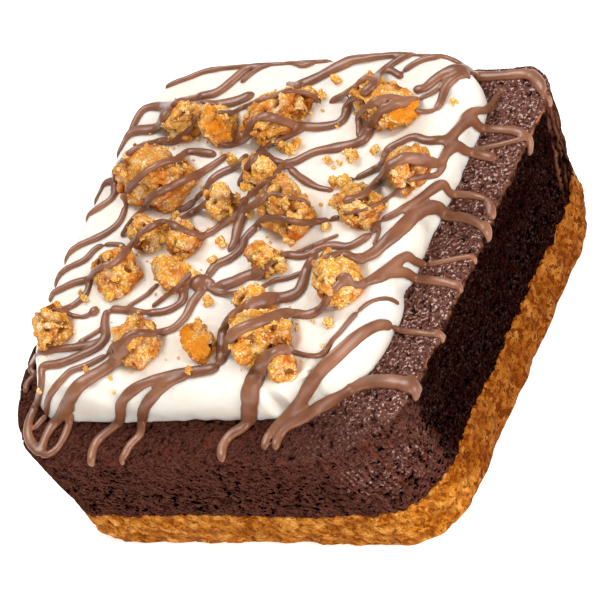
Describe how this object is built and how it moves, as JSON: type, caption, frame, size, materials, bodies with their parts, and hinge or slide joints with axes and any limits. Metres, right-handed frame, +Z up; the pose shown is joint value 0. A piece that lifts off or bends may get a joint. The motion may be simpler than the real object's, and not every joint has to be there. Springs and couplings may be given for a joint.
{
  "type": "smores brownie",
  "caption": "Square dessert bar of three layers: biscuit crust, chocolate brownie and marshmallow, topped with broken biscuit and melted chocolate drizzle.",
  "frame": {"origin": "on the underside, below the middle of the square bar", "axes": "+Z up through the layers; +X along the front edge to the right and +Y to the back, both parallel to the bar's sides"},
  "size_m": [0.0768, 0.0763, 0.0379],
  "materials": {
    "crust": "matte pressed biscuit crumb",
    "brownie": "matte baked chocolate crumb",
    "marshmallow": "satin whipped marshmallow",
    "biscuit": "matte sugary broken biscuit",
    "chocolate": "satin milk chocolate"
  },
  "bodies": {
    "root": {"biscuit_crust": "crust", "brownie": "brownie", "marshmallow": "marshmallow", "biscuit_chunk_01": "biscuit", "biscuit_chunk_02": "biscuit", "biscuit_chunk_03": "biscuit", "biscuit_chunk_04": "biscuit", "biscuit_chunk_05": "biscuit", "biscuit_chunk_06": "biscuit", "biscuit_chunk_07": "biscuit", "biscuit_chunk_08": "biscuit", "biscuit_chunk_09": "biscuit", "biscuit_chunk_10": "biscuit", "biscuit_chunk_11": "biscuit", "biscuit_chunk_12": "biscuit", "biscuit_chunk_13": "biscuit", "biscuit_chunk_14": "biscuit", "biscuit_chunk_15": "biscuit", "biscuit_chunk_16": "biscuit", "biscuit_chunk_17": "biscuit", "biscuit_chunk_18": "biscuit", "biscuit_chunk_19": "biscuit", "biscuit_chunk_20": "biscuit", "biscuit_chunk_21": "biscuit", "biscuit_chunk_22": "biscuit"}
  },
  "joints": []
}
